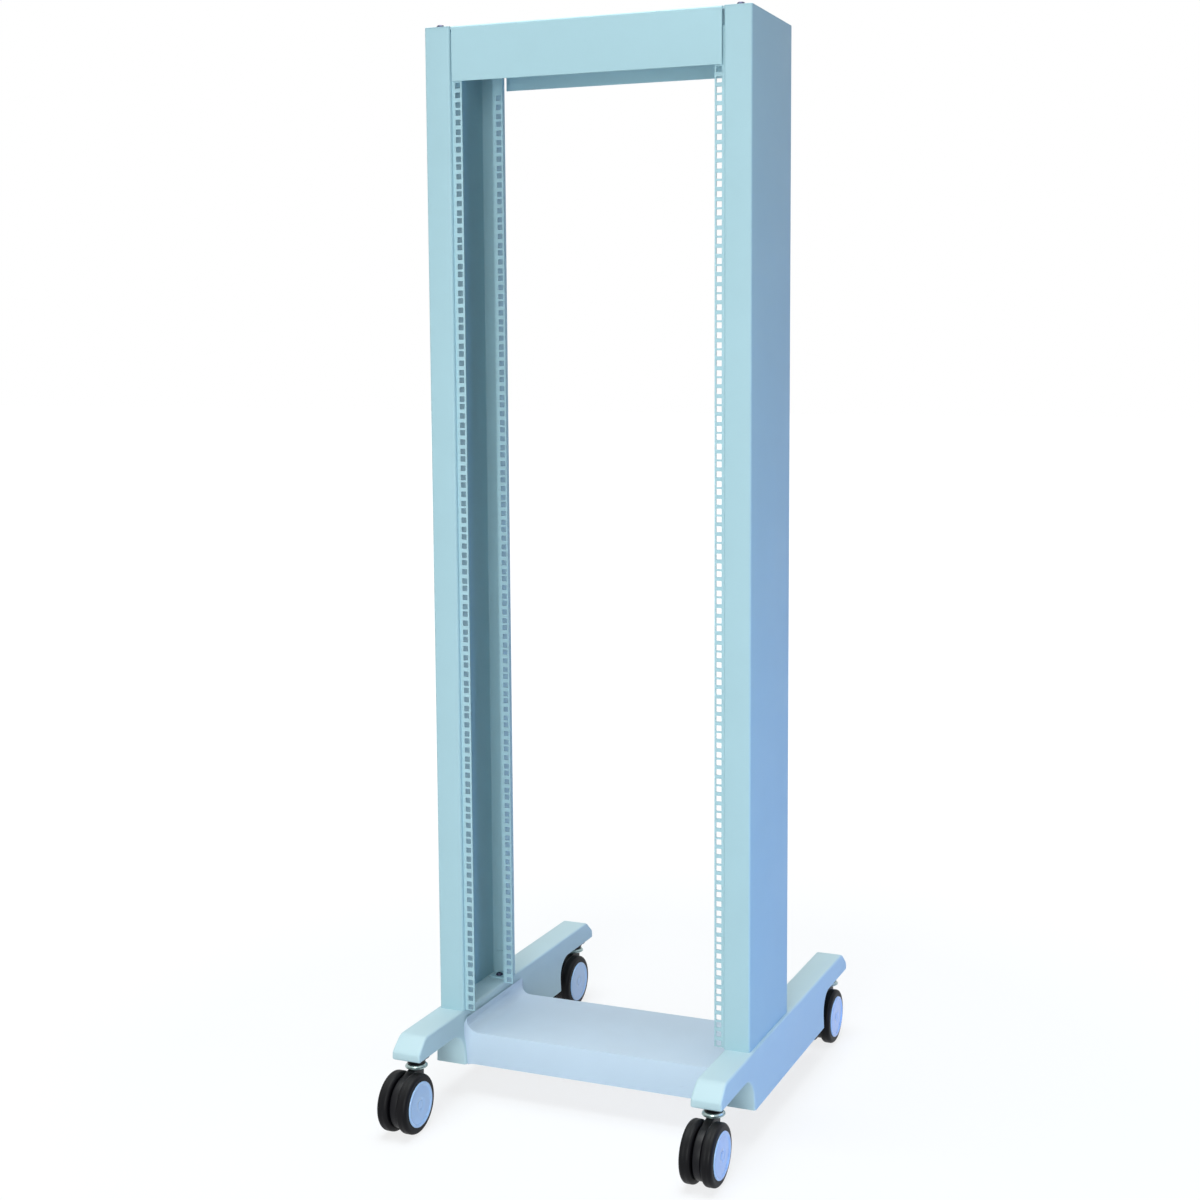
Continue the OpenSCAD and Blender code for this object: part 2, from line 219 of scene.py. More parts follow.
class ShaderGroups:
    """The shader node groups that several finishes share. Each is built once."""

    def __init__(self) -> None:
        self.grain = self._grain()
        self.wear = self._wear()
        self.dust = self._dust()

    @staticmethod
    def _grain() -> bpy.types.NodeTree:
        """Fine orange peel of a sprayed or moulded surface, with slow cloudy variation."""
        graph = new_group(
            "surface_grain", "ShaderNodeTree",
            [("Grain Size", "NodeSocketFloat", 0.0012), ("Cloud Size", "NodeSocketFloat", 0.12)],
            [("Height", "NodeSocketFloat"), ("Clouds", "NodeSocketFloat"),
             ("Specks", "NodeSocketFloat")])
        entry = graph.add("NodeGroupInput")
        place = graph.add("ShaderNodeTexCoord").outputs["Object"]
        fine = graph.math("DIVIDE", 1.0, entry.outputs["Grain Size"])
        slow = graph.math("DIVIDE", 1.0, entry.outputs["Cloud Size"])
        peel = graph.add("ShaderNodeTexNoise", {
            "Vector": place, "Scale": fine, "Detail": 2.0, "Roughness": 0.55})
        dimples = graph.add("ShaderNodeTexVoronoi", {
            "Vector": place, "Scale": graph.math("MULTIPLY", fine, 0.7)})
        clouds = graph.add("ShaderNodeTexNoise", {
            "Vector": place, "Scale": slow, "Detail": 3.0, "Roughness": 0.6})
        height = graph.math("MULTIPLY_ADD", dimples.outputs["Distance"], 0.4,
                            peel.outputs["Fac"])
        specks = graph.ramp(peel.outputs["Fac"], 0.62, 0.74)
        graph.add("NodeGroupOutput", {
            "Height": height, "Clouds": clouds.outputs["Fac"], "Specks": specks})
        return graph.tree

    @staticmethod
    def _wear() -> bpy.types.NodeTree:
        """Faint rubbed patches and fine hairlines left by handling."""
        graph = new_group(
            "handling_wear", "ShaderNodeTree",
            [("Hairline Scale", "NodeSocketFloat", 26.0), ("Patch Scale", "NodeSocketFloat", 7.0)],
            [("Hairlines", "NodeSocketFloat"), ("Patches", "NodeSocketFloat")])
        entry = graph.add("NodeGroupInput")
        place = graph.add("ShaderNodeTexCoord").outputs["Object"]
        drawn = graph.add("ShaderNodeMapping", {
            "Vector": place, "Rotation": (0.3, 0.2, 0.5), "Scale": (1.0, 14.0, 9.0)})
        lines = graph.add("ShaderNodeTexNoise", {
            "Vector": drawn.outputs["Vector"], "Scale": entry.outputs["Hairline Scale"],
            "Detail": 4.0, "Roughness": 0.7})
        patch = graph.add("ShaderNodeTexNoise", {
            "Vector": place, "Scale": entry.outputs["Patch Scale"], "Detail": 5.0,
            "Roughness": 0.62, "Distortion": 0.6})
        patches = graph.ramp(patch.outputs["Fac"], 0.48, 0.72)
        thin = graph.ramp(lines.outputs["Fac"], 0.66, 0.72)
        graph.add("NodeGroupOutput", {
            "Hairlines": graph.math("MULTIPLY", thin, patches), "Patches": patches})
        return graph.tree

    @staticmethod
    def _dust() -> bpy.types.NodeTree:
        """Where light dust settles: on faces that look up, in soft drifts."""
        graph = new_group(
            "settled_dust", "ShaderNodeTree",
            [("Drift Scale", "NodeSocketFloat", 9.0)], [("Dust", "NodeSocketFloat")])
        entry = graph.add("NodeGroupInput")
        facing = graph.add("ShaderNodeSeparateXYZ", {
            "Vector": graph.add("ShaderNodeNewGeometry").outputs["Normal"]})
        place = graph.add("ShaderNodeTexCoord").outputs["Object"]
        drift = graph.add("ShaderNodeTexNoise", {
            "Vector": place, "Scale": entry.outputs["Drift Scale"], "Detail": 6.0,
            "Roughness": 0.65})
        up = graph.ramp(facing.outputs["Z"], 0.35, 0.95)
        graph.add("NodeGroupOutput", {
            "Dust": graph.math("MULTIPLY", up, graph.ramp(drift.outputs["Fac"], 0.3, 0.8))})
        return graph.tree


GROUPS = ShaderGroups()


def linear(colour: Sequence[float], gain: float = 1.0) -> tuple[float, float, float, float]:
    """Turns a display colour of 0..255 into a shader colour.

    Args:
        colour: Red, green and blue as a screen shows them.
        gain: Factor on the brightness.

    Returns:
        The linear colour with alpha 1.
    """
    def one(value: float) -> float:
        part = value / 255
        return part / 12.92 if part <= 0.04045 else ((part + 0.055) / 1.055) ** 2.4
    red, green, blue = (min(1.0, one(v) * gain) for v in colour)
    return red, green, blue, 1.0


@dataclass(frozen=True)
class Finish:
    """A surface finish: its own numbers and the material made from them."""

    name: str
    colour: tuple[float, float, float]
    roughness: float
    metallic: float = 0.0
    coat: float = 0.0
    coat_roughness: float = 0.2
    specular: float = 0.5
    grain: float = 0.0012
    grain_depth: float = 0.02
    clouding: float = 0.04
    speckle: float = 0.02
    wear: float = 0.05
    dust: float = 0.05

    def material(self) -> bpy.types.Material:
        """Builds the material once.

        Returns:
            The material, made on the first call and found again on later ones.
        """
        known = bpy.data.materials.get(self.name)
        if known:
            return known
        material = bpy.data.materials.new(self.name)
        material.use_nodes = True
        material.node_tree.nodes.clear()
        graph = Graph(material.node_tree)
        base = linear(self.colour)
        grain = graph.add("ShaderNodeGroup", {}, node_tree=GROUPS.grain)
        grain.inputs["Grain Size"].default_value = self.grain
        wear = graph.add("ShaderNodeGroup", {}, node_tree=GROUPS.wear)
        dust = graph.add("ShaderNodeGroup", {}, node_tree=GROUPS.dust)
        clouds = self._blend(graph, base, linear(self.colour, 1 - 2.2 * self.clouding),
                             grain.outputs["Clouds"])
        specks = self._blend(graph, clouds, linear(self.colour, 1.18),
                             graph.math("MULTIPLY", grain.outputs["Specks"], self.speckle * 8))
        rubbed = self._blend(graph, specks, linear(self.colour, 0.82),
                             graph.math("MULTIPLY", wear.outputs["Hairlines"], self.wear * 6))
        dusty = self._blend(graph, rubbed, linear((205, 208, 205)),
                            graph.math("MULTIPLY", dust.outputs["Dust"], self.dust))
        rough = graph.math("MULTIPLY_ADD", wear.outputs["Patches"], -self.wear, self.roughness)
        rough = graph.math("MULTIPLY_ADD", dust.outputs["Dust"], self.dust * 1.5, rough)
        bump = graph.add("ShaderNodeBump", {
            "Strength": 0.35, "Distance": self.grain * self.grain_depth * 10,
            "Height": grain.outputs["Height"]})
        shader = graph.add("ShaderNodeBsdfPrincipled", {
            "Base Color": dusty, "Roughness": rough, "Metallic": self.metallic,
            "Coat Weight": self.coat, "Coat Roughness": self.coat_roughness,
            "Specular IOR Level": self.specular, "Normal": bump.outputs["Normal"]})
        graph.add("ShaderNodeOutputMaterial", {"Surface": shader.outputs["BSDF"]})
        LOG.info("material %s", self.name)
        return material

    @staticmethod
    def _blend(graph: Graph, a, b, factor) -> bpy.types.NodeSocket:
        """Mixes colour b over a by factor and returns the mixed colour."""
        node = graph.add("ShaderNodeMix", data_type="RGBA")
        sockets = [s for s in node.inputs if s.type == "RGBA"]
        for socket, value in zip(sockets, (a, b)):
            if isinstance(value, bpy.types.NodeSocket):
                graph.tree.links.new(value, socket)
            else:
                socket.default_value = value
        graph.tree.links.new(factor, node.inputs[0])
        return next(s for s in node.outputs if s.type == "RGBA")


class Finishes:
    """Every finish on the rack."""

    FRAME = Finish("pale_powder_coat", (178, 212, 222), roughness=0.52, specular=0.3,
                   clouding=0.03, wear=0.05, dust=0.05)
    FOOT = Finish("foot_powder_coat", (196, 222, 230), roughness=0.5, specular=0.3,
                  clouding=0.03, wear=0.07, dust=0.08)
    TRAY = Finish("tray_powder_coat", (208, 226, 243), roughness=0.52, specular=0.3,
                  clouding=0.03, wear=0.09, dust=0.08)
    SCREW = Finish("dark_plated_screw", (70, 70, 96), roughness=0.32, metallic=0.85,
                   grain=0.0006, grain_depth=0.012, wear=0.12, dust=0.12)
    ZINC = Finish("zinc_plated_steel", (172, 192, 190), roughness=0.3, metallic=0.8,
                  grain=0.0009, grain_depth=0.014, wear=0.12, dust=0.08)
    NYLON = Finish("black_moulded_nylon", (8, 8, 14), roughness=0.42, specular=0.2,
                   grain=0.0007, grain_depth=0.015, clouding=0.08, wear=0.1, dust=0.03)
    TREAD = Finish("black_tread", (6, 6, 10), roughness=0.5, specular=0.15,
                   grain=0.0011, grain_depth=0.02, clouding=0.08, wear=0.12, dust=0.03)
    CAP = Finish("pale_wheel_cap", (168, 205, 246), roughness=0.22, coat=0.4, coat_roughness=0.12,
                 grain=0.0008, grain_depth=0.008, clouding=0.03, wear=0.05, dust=0.03)


# ---------------------------------------------------------------------------
# Shapes
# ---------------------------------------------------------------------------


def arc(centre: Point, radius: float, start: float, stop: float, steps: int) -> list[Point]:
    """Points along a circular arc.

    Args:
        centre: The arc's centre.
        radius: Its radius.
        start: First angle in degrees.
        stop: Last angle in degrees.
        steps: Number of segments.

    Returns:
        steps + 1 points.
    """
    turns = [math.radians(start + (stop - start) * i / steps) for i in range(steps + 1)]
    return [(centre[0] + radius * math.cos(a), centre[1] + radius * math.sin(a)) for a in turns]


def curve(a: Point, corner: Point, b: Point, steps: int = 8) -> list[Point]:
    """Points of the smooth curve from a to b whose end tangents meet at corner."""
    points = []
    for i in range(steps + 1):
        t = i / steps
        points.append(tuple((1 - t) ** 2 * a[k] + 2 * t * (1 - t) * corner[k] + t * t * b[k]
                            for k in range(2)))
    return points


def along_x(u: float, v: float, w: float) -> Vector:
    """Places a profile drawn in (Y, Z), extruded along X."""
    return Vector((w, u, v))


def along_y(u: float, v: float, w: float) -> Vector:
    """Places a profile drawn in (X, Z), extruded along Y."""
    return Vector((u, w, v))


def along_z(u: float, v: float, w: float) -> Vector:
    """Places a profile drawn in (X, Y), extruded along Z."""
    return Vector((u, v, w))


def finish_object(name: str, bm: bmesh.types.BMesh, finish: Finish,
                  crease: float = 32.0) -> bpy.types.Object:
    """Turns a built mesh into a shaded object in the scene.

    Args:
        name: The piece's name.
        bm: The mesh, which is freed.
        finish: Its finish.
        crease: Edges sharper than this angle in degrees stay crisp.

    Returns:
        The new object, at the origin.
    """
    bmesh.ops.remove_doubles(bm, verts=bm.verts, dist=1e-6)
    bmesh.ops.recalc_face_normals(bm, faces=bm.faces)
    mesh = bpy.data.meshes.new(name)
    bm.to_mesh(mesh)
    bm.free()
    mesh.materials.append(finish.material())
    piece = bpy.data.objects.new(name, mesh)
    bpy.context.scene.collection.objects.link(piece)
    smooth(piece, crease)
    return piece


def smooth(piece: bpy.types.Object, crease: float) -> None:
    """Shades a piece smooth, with edges sharper than crease degrees kept crisp."""
    mesh = piece.data
    mesh.polygons.foreach_set("use_smooth", [True] * len(mesh.polygons))
    mesh.set_sharp_from_angle(angle=math.radians(crease))
    mesh.update()


def extrude(bm: bmesh.types.BMesh, outline: Sequence[Point], low: float, high: float,
            place: Callable[[float, float, float], Vector]) -> None:
    """Adds a closed prism to a mesh.

    Args:
        bm: The mesh it is added to.
        outline: The closed outline's points.
        low: Where the prism starts.
        high: Where it ends.
        place: Puts (u, v, w) into the rack's frame.
    """
    rings = [[bm.verts.new(place(u, v, w)) for u, v in outline] for w in (low, high)]
    count = len(outline)
    for i in range(count):
        j = (i + 1) % count
        bm.faces.new((rings[0][i], rings[0][j], rings[1][j], rings[1][i]))
    bm.faces.new(rings[0][::-1])
    bm.faces.new(rings[1])


def lathe(bm: bmesh.types.BMesh, profile: Sequence[Point], centre: Vector, axis: Vector,
          steps: int = 64) -> None:
    """Turns a closed profile about an axis and adds it to a mesh.

    Args:
        bm: The mesh it is added to.
        profile: (radius, height along the axis) of each point; the first and last lie on it.
        centre: Where height 0 is.
        axis: Unit vector of the axis.
        steps: Segments round the turn.
    """
    across = axis.orthogonal().normalized()
    third = axis.cross(across)
    rings: list[list[bmesh.types.BMVert]] = []
    for radius, height in profile:
        middle = centre + axis * height
        if radius < 1e-7:
            rings.append([bm.verts.new(middle)])
            continue
        ring = []
        for i in range(steps):
            turn = 2 * math.pi * i / steps
            ring.append(bm.verts.new(
                middle + radius * (math.cos(turn) * across + math.sin(turn) * third)))
        rings.append(ring)
    for first, second in zip(rings, rings[1:]):
        for i in range(steps):
            j = (i + 1) % steps
            corners = [first[i % len(first)], first[j % len(first)],
                       second[j % len(second)], second[i % len(second)]]
            unique = list(dict.fromkeys(corners))
            if len(unique) > 2:
                bm.faces.new(unique)


def bent_run(corners: Sequence[Point], thickness: float, bend: float, steps: int = 6) -> Run:
    """Follows folded sheet metal along its surface line.

    Args:
        corners: The surface line's corners before bending. The sheet lies on the line's left.
        thickness: Thickness of the sheet.
        bend: Outside radius of each bend.
        steps: Segments in each bend.

    Returns:
        Pairs of (surface point, back point).
    """
    points = [Vector(c) for c in corners]

    def left(heading: Vector) -> Vector:
        """The unit vector to the left of a heading."""
        return Vector((-heading.y, heading.x))

    run: Run = []
    for k, point in enumerate(points):
        before = (point - points[k - 1]).normalized() if k else None
        after = (points[k + 1] - point).normalized() if k + 1 < len(points) else None
        if before is None or after is None:
            run.append((point, point + thickness * left(before or after)))
            continue
        turn = math.atan2(before.x * after.y - before.y * after.x, before.dot(after))
        sign = 1 if turn > 0 else -1
        radius = bend if turn > 0 else bend - thickness
        start = point - before * radius * math.tan(abs(turn) / 2)
        centre = start + sign * radius * left(before)
        for i in range(steps + 1):
            angle = turn * i / steps
            heading = Vector((before.x * math.cos(angle) - before.y * math.sin(angle),
                              before.x * math.sin(angle) + before.y * math.cos(angle)))
            surface = centre - sign * radius * left(heading)
            run.append((surface, surface + thickness * left(heading)))
    return run


def sheet_metal(bm: bmesh.types.BMesh, run: Run, levels: Sequence[float],
                place: Callable[[float, float, float], Vector],
                keep: Callable[[int, int], bool] = lambda i, j: True) -> None:
    """Adds folded sheet metal to a mesh, with windows where keep says no.

    Args:
        bm: The mesh it is added to.
        run: Surface and back points from bent_run.
        levels: Positions along the fold lines, in order.
        place: Puts (u, v, w) into the rack's frame.
        keep: Says whether the sheet is there between run points i, i + 1 and levels j, j + 1.
    """
    grid = [[[bm.verts.new(place(p.x, p.y, w)) for w in levels] for p in pair] for pair in run]
    across, up = len(run) - 1, len(levels) - 1

    def there(i: int, j: int) -> bool:
        """Whether a cell lies on the sheet."""
        return 0 <= i < across and 0 <= j < up and keep(i, j)

    for i in range(across):
        for j in range(up):
            if not there(i, j):
                continue
            here, following = grid[i], grid[i + 1]
            for skin in (0, 1):
                bm.faces.new((here[skin][j], following[skin][j],
                              following[skin][j + 1], here[skin][j + 1]))
            for k, column in ((i - 1, here), (i + 1, following)):
                if not there(k, j):
                    bm.faces.new((column[0][j], column[0][j + 1],
                                  column[1][j + 1], column[1][j]))
            for k, level in ((j - 1, j), (j + 1, j + 1)):
                if not there(i, k):
                    bm.faces.new((here[0][level], following[0][level],
                                  following[1][level], here[1][level]))
    loose = [v for v in bm.verts if not v.link_faces]
    bmesh.ops.delete(bm, geom=loose, context="VERTS")


def apply_modifiers(piece: bpy.types.Object) -> None:
    """Replaces a piece's mesh with what its modifiers make, and removes them."""
    bpy.context.view_layer.update()
    graph = bpy.context.evaluated_depsgraph_get()
    mesh = bpy.data.meshes.new_from_object(piece.evaluated_get(graph), depsgraph=graph)
    piece.modifiers.clear()
    piece.data = mesh


def carve(piece: bpy.types.Object, tool: bpy.types.Object, operation: str) -> None:
    """Joins, cuts or intersects a piece with a tool body, which is then deleted.

    Args:
        piece: The piece that is changed.
        tool: The other body.
        operation: "DIFFERENCE", "INTERSECT" or "UNION".
    """
    modifier = piece.modifiers.new("carve", "BOOLEAN")
    modifier.operation = operation
    modifier.solver = "EXACT"
    modifier.object = tool
    apply_modifiers(piece)
    bpy.data.objects.remove(tool, do_unlink=True)


def round_edges(piece: bpy.types.Object, width: float, segments: int = 3,
                angle: float = 40.0) -> None:
    """Rounds a piece's edges that turn by more than an angle in degrees."""
    modifier = piece.modifiers.new("edges", "BEVEL")
    modifier.width = width
    modifier.segments = segments
    modifier.limit_method = "ANGLE"
    modifier.angle_limit = math.radians(angle)
    modifier.use_clamp_overlap = True
    apply_modifiers(piece)


def solid(name: str, outline: Sequence[Point], low: float, high: float,
          place: Callable[[float, float, float], Vector], finish: Finish) -> bpy.types.Object:
    """A prism as an object of its own, for carving and rounding."""
    bm = bmesh.new()
    extrude(bm, outline, low, high, place)
    return finish_object(name, bm, finish)


def settle(piece: bpy.types.Object, body: str, nodes: Iterable[str] = ()) -> None:
    """Hands a finished piece over to the frame.

    Args:
        piece: The piece, with its mesh final.
        body: The body it rides on.
        nodes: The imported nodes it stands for.
    """
    piece.data.name = piece.name
    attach(piece, body)
    nodes = tuple(nodes)
    if nodes:
        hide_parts(*nodes)
    LOG.info("piece %s: %d faces on %s", piece.name, len(piece.data.polygons), body)


# ---------------------------------------------------------------------------
# Geometry node trees
# ---------------------------------------------------------------------------


class GeometryGroups:
    """The geometry node trees of the repeats. Each is built once."""

    def __init__(self) -> None:
        self.rail = self._rail()
        self.row = self._row()

    @staticmethod
    def _rail() -> bpy.types.NodeTree:
        """A mounting rail: a strip with three square holes to each unit, and a leg."""
        graph = new_group(
            "punched_rail", "GeometryNodeTree",
            [("Units", "NodeSocketInt", 36), ("Unit", "NodeSocketFloat", 0.04445),
             ("First Hole", "NodeSocketFloat", 0.00635),
             ("Hole Step", "NodeSocketFloat", 0.015875),
             ("Hole Size", "NodeSocketFloat", 0.0095),
             ("Hole Corner", "NodeSocketFloat", 0.0009), ("Column", "NodeSocketFloat", 0.23255),
             ("Inner Edge", "NodeSocketFloat", 0.225), ("Outer Edge", "NodeSocketFloat", 0.243),
             ("Low", "NodeSocketFloat", 0.157), ("Height", "NodeSocketFloat", 1.66),
             ("Face", "NodeSocketFloat", -0.164), ("Leg", "NodeSocketFloat", 0.025),
             ("Sheet", "NodeSocketFloat", 0.002), ("Finish", "NodeSocketMaterial", None)],
            [("Geometry", "NodeSocketGeometry")])
        entry = graph.add("NodeGroupInput").outputs

        def plus(a, b) -> bpy.types.NodeSocket:
            """The sum of two values."""
            return graph.math("ADD", a, b)

        def half(a) -> bpy.types.NodeSocket:
            """Half of a value."""
            return graph.math("MULTIPLY", a, 0.5)

        def vector(x, y, z) -> bpy.types.NodeSocket:
            """A vector of three values."""
            return graph.add("ShaderNodeCombineXYZ", {"X": x, "Y": y, "Z": z}).outputs[0]

        # The strip's blank lies flat, its height along Y.
        width = graph.math("SUBTRACT", entry["Outer Edge"], entry["Inner Edge"])
        blank = graph.add("GeometryNodeCurvePrimitiveQuadrilateral", {
            "Width": width, "Height": entry["Height"]})
        middle = half(plus(entry["Inner Edge"], entry["Outer Edge"]))
        blank = graph.add("GeometryNodeTransform", {
            "Geometry": blank.outputs["Curve"],
            "Translation": vector(middle, half(entry["Height"]), 0.0)})

        # One punch at each hole of each unit.
        number = graph.add("GeometryNodeInputIndex").outputs["Index"]
        count = graph.math("MULTIPLY", entry["Units"], 3.0)
        in_unit = graph.math("MODULO", number, 3.0)
        whole = graph.math("FLOOR", graph.math("DIVIDE", plus(number, 0.5), 3.0))
        rise = plus(graph.math("MULTIPLY_ADD", whole, entry["Unit"], entry["First Hole"]),
                    graph.math("MULTIPLY", in_unit, entry["Hole Step"]))
        places = graph.add("GeometryNodePoints", {
            "Count": count, "Position": vector(entry["Column"], rise, 0.0)})
        punch = graph.add("GeometryNodeCurvePrimitiveQuadrilateral", {
            "Width": entry["Hole Size"], "Height": entry["Hole Size"]})
        punch = graph.add("GeometryNodeFilletCurve", {
            "Curve": punch.outputs["Curve"], "Radius": entry["Hole Corner"], "Count": 3},
            mode="POLY")
        punches = graph.add("GeometryNodeInstanceOnPoints", {
            "Points": places.outputs[0], "Instance": punch.outputs["Curve"]})
        punches = graph.add("GeometryNodeRealizeInstances", {
            "Geometry": punches.outputs["Instances"]})
        lines = graph.add("GeometryNodeJoinGeometry")
        graph.tree.links.new(blank.outputs["Geometry"], lines.inputs[0])
        graph.tree.links.new(punches.outputs["Geometry"], lines.inputs[0])
        flat = graph.add("GeometryNodeFillCurve", {"Curve": lines.outputs[0]})
        raised = graph.add("GeometryNodeExtrudeMesh", {
            "Mesh": flat.outputs["Mesh"], "Offset Scale": entry["Sheet"], "Individual": False},
            mode="FACES")
        turned = graph.add("GeometryNodeFlipFaces", {"Mesh": flat.outputs["Mesh"]})
        strip = graph.add("GeometryNodeJoinGeometry")
        graph.tree.links.new(raised.outputs["Mesh"], strip.inputs[0])
        graph.tree.links.new(turned.outputs["Mesh"], strip.inputs[0])
        strip = graph.add("GeometryNodeMergeByDistance", {
            "Geometry": strip.outputs[0], "Distance": 1e-6})
        back = plus(entry["Face"], entry["Sheet"])
        strip = graph.add("GeometryNodeTransform", {
            "Geometry": strip.outputs["Geometry"],
            "Translation": vector(0.0, back, entry["Low"]),
            "Rotation": (math.radians(90), 0.0, 0.0)})

        # The leg stands behind the strip's outer edge.
        leg_l = graph.math("SUBTRACT", entry["Leg"], entry["Sheet"])
        leg = graph.add("GeometryNodeMeshCube", {
            "Size": vector(entry["Sheet"], leg_l, entry["Height"])})
        leg_x = graph.math("SUBTRACT", entry["Outer Edge"], half(entry["Sheet"]))
        leg = graph.add("GeometryNodeTransform", {
            "Geometry": leg.outputs["Mesh"],
            "Translation": vector(leg_x, plus(back, half(leg_l)),
                                  plus(entry["Low"], half(entry["Height"])))})
        rail = graph.add("GeometryNodeJoinGeometry")
        graph.tree.links.new(strip.outputs["Geometry"], rail.inputs[0])
        graph.tree.links.new(leg.outputs["Geometry"], rail.inputs[0])
        painted = graph.add("GeometryNodeSetMaterial", {
            "Geometry": rail.outputs[0], "Material": entry["Finish"]})
        graph.add("NodeGroupOutput", {"Geometry": painted.outputs["Geometry"]})
        return graph.tree

    @staticmethod
    def _row() -> bpy.types.NodeTree:
        """Sets a pattern piece on every point of the carrier mesh, each turned a little."""
        graph = new_group(
            "set_on_points", "GeometryNodeTree",
            [("Geometry", "NodeSocketGeometry", None), ("Pattern", "NodeSocketObject", None),
             ("Turn", "NodeSocketFloat", 0.6), ("Seed", "NodeSocketInt", 4),
             ("Finish", "NodeSocketMaterial", None)],
            [("Geometry", "NodeSocketGeometry")])
        entry = graph.add("NodeGroupInput").outputs
        pattern = graph.add("GeometryNodeObjectInfo", {
            "Object": entry["Pattern"], "As Instance": False})
        points = graph.add("GeometryNodeMeshToPoints", {"Mesh": entry["Geometry"]})
        turn = graph.add("FunctionNodeRandomValue", {"Seed": entry["Seed"]}, data_type="FLOAT")
        low, high = [s for s in turn.inputs if s.type == "VALUE" and s.enabled][:2]
        low.default_value = 0.0
        graph.tree.links.new(entry["Turn"], high)
        amount = next(s for s in turn.outputs if s.type == "VALUE" and s.enabled)
        about = graph.add("ShaderNodeCombineXYZ", {"Z": amount})
        pieces = graph.add("GeometryNodeInstanceOnPoints", {
            "Points": points.outputs[0], "Instance": pattern.outputs["Geometry"],
            "Rotation": about.outputs[0]})
        real = graph.add("GeometryNodeRealizeInstances", {
            "Geometry": pieces.outputs["Instances"]})
        painted = graph.add("GeometryNodeSetMaterial", {
            "Geometry": real.outputs["Geometry"], "Material": entry["Finish"]})
        graph.add("NodeGroupOutput", {"Geometry": painted.outputs["Geometry"]})
        return graph.tree


REPEATS = GeometryGroups()


def grow(name: str, tree: bpy.types.NodeTree, carrier: bpy.types.Mesh, values: dict,
         crease: float = 32.0) -> bpy.types.Object:
    """Runs a geometry node tree once and keeps the mesh it makes.

    Args:
        name: The piece's name.
        tree: The node tree.
        carrier: The mesh that the tree starts from.
        values: Input name to value.
        crease: Edges sharper than this angle in degrees stay crisp.

    Returns:
        A plain object with the realized mesh and no modifier.
    """
    piece = bpy.data.objects.new(name, carrier)
    bpy.context.scene.collection.objects.link(piece)
    modifier = piece.modifiers.new("repeat", "NODES")
    modifier.node_group = tree
    names = {item.name: item.identifier for item in tree.interface.items_tree
             if item.item_type == "SOCKET" and item.in_out == "INPUT"}
    for key, value in values.items():
        modifier[names[key]] = value
    apply_modifiers(piece)
    smooth(piece, crease)
    return piece


# ---------------------------------------------------------------------------
# Sub-assemblies
# ---------------------------------------------------------------------------


@dataclass(frozen=True)
class Post:
    """One hollow post: a folded channel whose lips carry the rails, with its cap."""

    side: Side
    sizes: Sizes

    def dress(self) -> None:
        """Builds the channel and the cap."""
        self._channel()
        self._cap()

    def _channel(self) -> None:
        """Folds the channel, with its lips cut short below the beam's tabs."""
        s = self.sizes
        front_lip = s.front_rail_y + RAIL_LEG
        run = bent_run(
            [(s.lip_x, front_lip), (s.lip_x, s.post_front), (s.half_w, s.post_front),
             (s.half_w, s.post_rear), (s.lip_x, s.post_rear),
             (s.lip_x, s.rear_rail_y + s.sheet)],
            s.sheet, s.bend)
        top = s.rack_top - s.sheet
        last = len(run) - 2
        place = lambda u, v, w: Vector((self.side.value * u, v, w))
        bm = bmesh.new()
        sheet_metal(bm, run, [s.foot_top, top - 0.008, top], place,
                    keep=lambda i, j: j == 0 or 0 < i < last)
        piece = finish_object(f"{self.side.word}_post_channel", bm, Finishes.FRAME)
        settle(piece, "rack", [f"{self.side.word}_post"])

    def _cap(self) -> None:
        """Cuts the plate that closes the top."""
        s = self.sizes
        r = s.bend
        outline = ([(s.lip_x, s.post_rear), (s.lip_x, s.post_front)]
                   + arc((s.half_w - r, s.post_front + r), r, -90, 0, 6)
                   + arc((s.half_w - r, s.post_rear - r), r, 0, 90, 6))
        piece = solid(f"{self.side.word}_post_lid", outline, s.rack_top - s.sheet, s.rack_top,
                      lambda u, v, w: Vector((self.side.value * u, v, w)), Finishes.FRAME)
        round_edges(piece, 0.0007, 2)
        smooth(piece, 35)
        settle(piece, "rack", [f"{self.side.word}_post_cap"])


@dataclass(frozen=True)
class Rail:
    """One punched mounting rail with its leg against the post's lip."""

    side: Side
    end: End
    sizes: Sizes

    def dress(self) -> None:
        """Grows the rail from its node tree and mirrors it on the left."""
        s = self.sizes
        front = self.end is End.FRONT
        name = f"{self.end.word}_{self.side.word}_rail"
        carrier = bpy.data.meshes.new(name)
        piece = grow(f"{name}_punched", REPEATS.rail, carrier, {
            "Units": s.units, "Unit": s.unit, "Inner Edge": s.rail_edge, "Outer Edge": s.lip_x,
            "Low": s.foot_top, "Height": s.rail_high - s.foot_top,
            "Face": s.front_rail_y if front else s.rear_rail_y,
            "Sheet": s.sheet, "Finish": Finishes.FRAME.material()})
        bm = bmesh.new()
        bm.from_mesh(piece.data)
        for vert in bm.verts:
            vert.co.x *= self.side.value
        bmesh.ops.recalc_face_normals(bm, faces=bm.faces)
        bm.to_mesh(piece.data)
        bm.free()
        smooth(piece, 32)
        settle(piece, "rack", [name])


